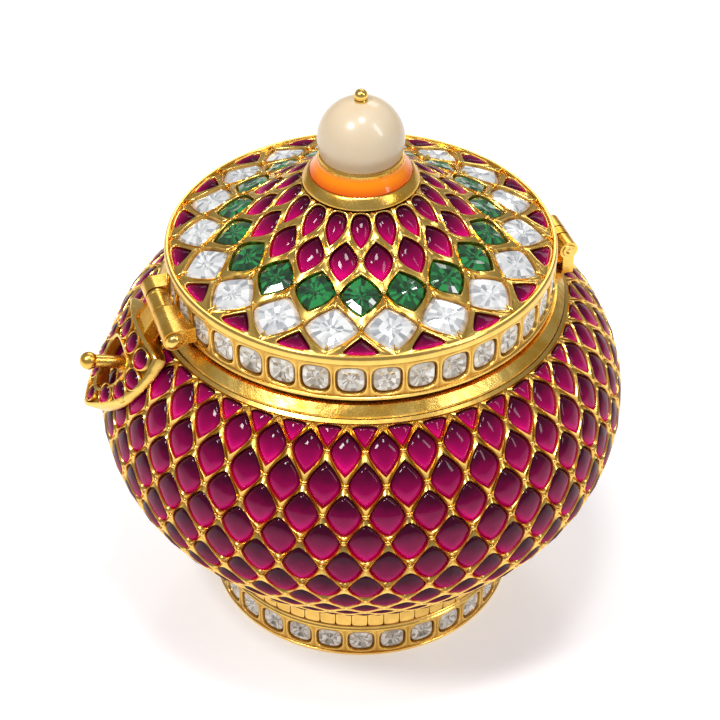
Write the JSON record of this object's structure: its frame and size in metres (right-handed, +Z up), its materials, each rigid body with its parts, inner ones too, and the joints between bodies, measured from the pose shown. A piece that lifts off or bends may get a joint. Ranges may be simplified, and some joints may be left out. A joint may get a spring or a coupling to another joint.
{
  "type": "sindoor box",
  "caption": "Round gem-set powder pot on a faceted foot, with a hinged dome lid, pearl finial and a front hasp that drops over a peg.",
  "frame": {"origin": "centre of the foot's underside, the face the box stands on", "axes": "+Z up along the pot's axis, -Y towards the clasp, +Y towards the lid's hinge"},
  "size_m": [0.0508, 0.0528, 0.0563],
  "materials": {
    "gold": "polished",
    "ruby": "polished cabochon",
    "emerald": "faceted",
    "clear": "foil-backed flat cut",
    "pearl": "lustrous",
    "enamel": "fired enamel"
  },
  "bodies": {
    "pot": {"base_plate": "gold", "foot_band": "gold", "foot_stones": "clear", "foot_facet_ring": "gold", "pot_shell": "gold", "pot_setting": "gold", "pot_stones_00": "ruby", "pot_stones_01": "ruby", "pot_stones_02": "ruby", "pot_stones_03": "ruby", "pot_stones_04": "ruby", "pot_stones_05": "ruby", "pot_stones_06": "ruby", "pot_stones_07": "ruby", "pot_stones_08": "ruby", "pot_stones_09": "ruby", "pot_stones_10": "ruby", "pot_stones_11": "ruby", "pot_stones_12": "ruby", "inner_cup": "gold", "mouth_collar": "gold", "hinge_pot_leaf": "gold", "hinge_pin": "gold", "catch_peg": "gold", "peg_seat": "gold"},
    "lid": {"lid_plate": "gold", "lid_setting": "gold", "lid_edge_rubies": "ruby", "lid_clear_stones": "clear", "lid_green_stones": "emerald", "lid_outer_rubies": "ruby", "lid_inner_rubies": "ruby", "lid_rim_band": "gold", "lid_rim_stones": "clear", "finial_collar": "gold", "enamel_ring": "enamel", "pearl_bezel": "gold", "pearl": "pearl", "finial_pin": "gold", "finial_washer": "gold", "finial_nut": "gold", "hinge_lid_leaf": "gold", "clasp_knuckles": "gold", "clasp_pin": "gold"},
    "hasp": {"hasp_plate": "gold", "hasp_stones": "ruby"}
  },
  "joints": [
    {"name": "lid_hinge", "type": "hinge", "parent": "pot", "child": "lid", "pos_m": [0, 0.01945, 0.0373], "axis": [-1, 0, 0], "range_deg": [0, 105]},
    {"name": "hasp_hinge", "type": "hinge", "parent": "lid", "child": "hasp", "pos_m": [0, -0.01945, 0.0369], "axis": [-1, 0, 0], "range_deg": [0, 135]}
  ]
}
